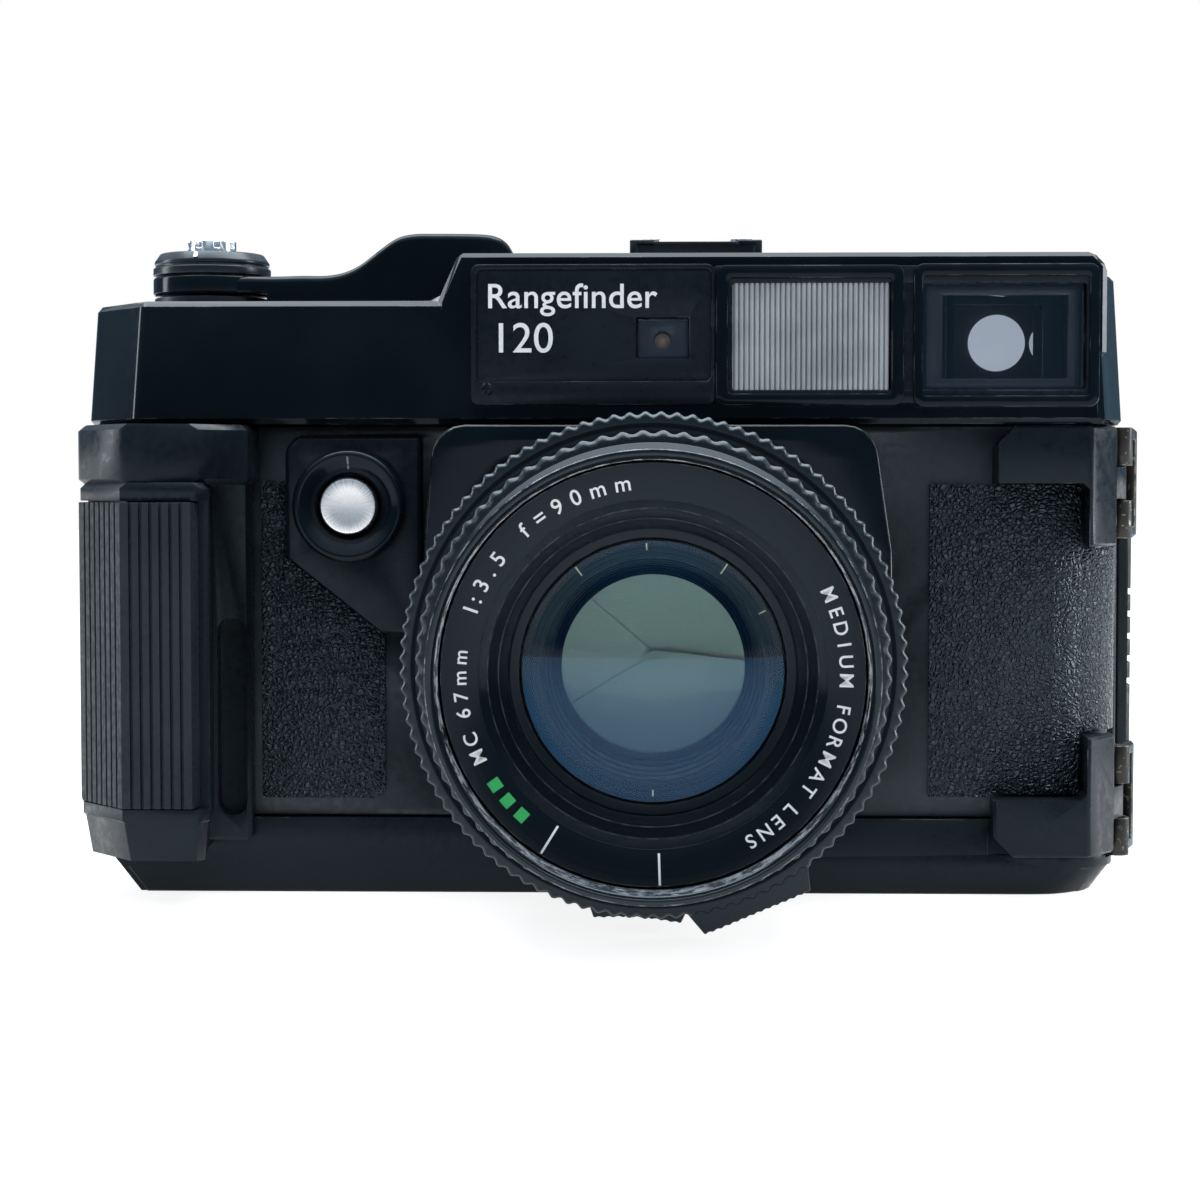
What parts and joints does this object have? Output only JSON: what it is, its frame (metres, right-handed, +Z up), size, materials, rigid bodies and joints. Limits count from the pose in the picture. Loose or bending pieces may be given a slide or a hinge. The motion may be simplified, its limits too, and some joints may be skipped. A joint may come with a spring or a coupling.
{
  "type": "press camera",
  "caption": "Medium format roll-film rangefinder camera with a fixed lens, film advance lever, hand grip, strap lugs and a hinged back.",
  "frame": {"origin": "middle of the camera's box in plan, on the plane that it stands on", "axes": "+Z up, -Y the way the lens points, +X to the right of somebody who faces the lens"},
  "size_m": [0.1992, 0.129, 0.1234],
  "materials": {
    "alloy": "bare die casting, fine grained",
    "gloss_paint": "gloss blue-black paint with thin bright worn edges",
    "satin_paint": "satin black paint",
    "lens_black": "black anodised, turned and scalloped",
    "matt_black": "matt black lacquer",
    "plastic": "satin black moulded plastic",
    "rubber": "matt ribbed rubber",
    "leatherette": "fine pebbled black leatherette",
    "steel": "spun and plated",
    "worn_brass": "worn black finish over brass",
    "optical_glass": "coated glass, teal and purple reflections",
    "pale_window": "pale ribbed translucent plastic",
    "mirror": "silvered"
  },
  "bodies": {
    "camera_body": {"main_frame": "alloy", "top_cover": "gloss_paint", "bottom_cover": "satin_paint", "grip_shell": "plastic", "grip_rubber": "rubber", "leather_left": "leatherette", "leather_right": "leatherette", "release_plate": "satin_paint", "lens_board": "satin_paint", "viewfinder_bezel": "satin_paint", "frame_light_window": "pale_window", "viewfinder_front_glass": "optical_glass", "rangefinder_glass": "optical_glass", "beam_splitter": "optical_glass", "eyepiece_ring": "matt_black", "eyepiece_lens": "optical_glass", "accessory_shoe": "matt_black", "shoe_spring": "steel", "upper_lug_bracket": "satin_paint", "lower_lug_bracket": "satin_paint", "upper_lug_pin": "steel", "lower_lug_pin": "steel", "tripod_socket": "steel", "bezel_screw": "steel", "outer_helicoid": "lens_black", "door_hinge_pin": "steel", "lever_boss": "lens_black"},
    "lever": {"advance_lever": "gloss_paint", "lever_cap": "lens_black"},
    "lock_ring": {"release_lock_ring": "steel"},
    "top_button": {"top_release_button": "matt_black"},
    "release_ring": {"front_release_ring": "gloss_paint"},
    "front_button": {"front_release_button": "steel"},
    "focus": {"focus_ring": "lens_black"},
    "barrel": {"lens_barrel": "lens_black", "filter_ring": "lens_black", "name_ring": "lens_black", "front_cell": "matt_black", "front_element": "optical_glass", "middle_element": "optical_glass", "rear_cell": "matt_black", "rear_element": "optical_glass"},
    "speed": {"shutter_speed_ring": "lens_black"},
    "aperture": {"aperture_ring": "lens_black"},
    "blade_1": {"shutter_blade_1": "matt_black"},
    "blade_2": {"shutter_blade_2": "matt_black"},
    "blade_3": {"shutter_blade_3": "matt_black"},
    "blade_4": {"shutter_blade_4": "matt_black"},
    "blade_5": {"shutter_blade_5": "matt_black"},
    "upper_lug": {"upper_strap_lug": "worn_brass"},
    "lower_lug": {"lower_strap_lug": "worn_brass"},
    "door": {"back_door": "satin_paint", "back_leather": "leatherette", "memo_holder": "plastic", "pressure_spring": "steel"},
    "pressure": {"pressure_plate": "steel"},
    "latch": {"door_latch": "plastic"},
    "take_up": {"take_up_spool": "plastic"},
    "feed": {"feed_spool": "plastic"},
    "finder_mirror": {"rangefinder_mirror": "mirror"}
  },
  "joints": [
    {"name": "lever_swing", "type": "hinge", "parent": "camera_body", "child": "lever", "pos_m": [-0.0789, 0.0325, 0.112], "axis": [0, 0, 1], "range_deg": [0, 150], "stiffness_Nm_per_rad": 0.03},
    {"name": "take_up_turn", "type": "hinge", "parent": "camera_body", "child": "take_up", "pos_m": [-0.072, 0.037, 0.0454], "axis": [0, 0, 1], "range_deg": [-301, 0]},
    {"name": "feed_turn", "type": "hinge", "parent": "camera_body", "child": "feed", "pos_m": [0.073, 0.037, 0.0454], "axis": [0, 0, 1], "continuous": true},
    {"name": "lock_ring_turn", "type": "hinge", "parent": "camera_body", "child": "lock_ring", "pos_m": [-0.0789, 0.0325, 0.119], "axis": [0, 0, 1], "range_deg": [0, 45]},
    {"name": "top_press", "type": "slide", "parent": "camera_body", "child": "top_button", "axis": [0, 0, -1], "range_m": [0, 0.002], "stiffness_N_per_m": 400},
    {"name": "release_ring_turn", "type": "hinge", "parent": "camera_body", "child": "release_ring", "pos_m": [-0.0492, 0.0026, 0.0712], "axis": [0, -1, 0], "range_deg": [0, 45]},
    {"name": "front_press", "type": "slide", "parent": "camera_body", "child": "front_button", "axis": [0, 1, 0], "range_m": [0, 0.0022], "stiffness_N_per_m": 400},
    {"name": "focus_turn", "type": "hinge", "parent": "camera_body", "child": "focus", "pos_m": [0.006, -0.022, 0.0454], "axis": [0, -1, 0], "range_deg": [0, 150]},
    {"name": "barrel_slide", "type": "slide", "parent": "camera_body", "child": "barrel", "axis": [0, -1, 0], "range_m": [0, 0.0091]},
    {"name": "mirror_turn", "type": "hinge", "parent": "camera_body", "child": "finder_mirror", "pos_m": [0.0076, 0.02, 0.1013], "axis": [0, 0, 1], "range_deg": [0, 3.1]},
    {"name": "speed_turn", "type": "hinge", "parent": "barrel", "child": "speed", "pos_m": [0.006, -0.035, 0.0454], "axis": [0, -1, 0], "range_deg": [-100, 40]},
    {"name": "aperture_turn", "type": "hinge", "parent": "barrel", "child": "aperture", "pos_m": [0.006, -0.043, 0.0454], "axis": [0, -1, 0], "range_deg": [0, 90]},
    {"name": "blade_1_turn", "type": "hinge", "parent": "barrel", "child": "blade_1", "pos_m": [0.0236, -0.0191, 0.0454], "axis": [0, 1, 0], "range_deg": [0, 55.1]},
    {"name": "blade_2_turn", "type": "hinge", "parent": "barrel", "child": "blade_2", "pos_m": [0.01144, -0.01975, 0.06214], "axis": [0, 1, 0], "range_deg": [0, 55.1]},
    {"name": "blade_3_turn", "type": "hinge", "parent": "barrel", "child": "blade_3", "pos_m": [-0.00824, -0.0204, 0.05575], "axis": [0, 1, 0], "range_deg": [0, 55.1]},
    {"name": "blade_4_turn", "type": "hinge", "parent": "barrel", "child": "blade_4", "pos_m": [-0.00824, -0.02105, 0.03506], "axis": [0, 1, 0], "range_deg": [0, 55.1]},
    {"name": "blade_5_turn", "type": "hinge", "parent": "barrel", "child": "blade_5", "pos_m": [0.01144, -0.0217, 0.02866], "axis": [0, 1, 0], "range_deg": [0, 55.1]},
    {"name": "upper_lug_swing", "type": "hinge", "parent": "camera_body", "child": "upper_lug", "pos_m": [0.0922, 0.0174, 0.0754], "axis": [0, 0, 1], "range_deg": [-60, 12]},
    {"name": "lower_lug_swing", "type": "hinge", "parent": "camera_body", "child": "lower_lug", "pos_m": [0.0922, 0.0174, 0.0166], "axis": [0, 0, 1], "range_deg": [-60, 12]},
    {"name": "door_open", "type": "hinge", "parent": "camera_body", "child": "door", "pos_m": [-0.0952, 0.0577, 0.05], "axis": [0, 0, 1], "range_deg": [0, 110]},
    {"name": "pressure_slide", "type": "slide", "parent": "door", "child": "pressure", "axis": [0, 1, 0], "range_m": [0, 0.0012], "stiffness_N_per_m": 600},
    {"name": "latch_slide", "type": "slide", "parent": "door", "child": "latch", "axis": [0, 0, -1], "range_m": [0, 0.004]}
  ],
  "couplings": [
    {"joint": "take_up_turn", "follows": "lever_swing", "ratio": -2},
    {"joint": "barrel_slide", "follows": "focus_turn", "m_per_rad": 0.00343},
    {"joint": "mirror_turn", "follows": "focus_turn", "ratio": 0.02},
    {"joint": "blade_1_turn", "follows": "front_press", "rad_per_m": 436},
    {"joint": "blade_2_turn", "follows": "front_press", "rad_per_m": 436},
    {"joint": "blade_3_turn", "follows": "front_press", "rad_per_m": 436},
    {"joint": "blade_4_turn", "follows": "front_press", "rad_per_m": 436},
    {"joint": "blade_5_turn", "follows": "front_press", "rad_per_m": 436}
  ]
}
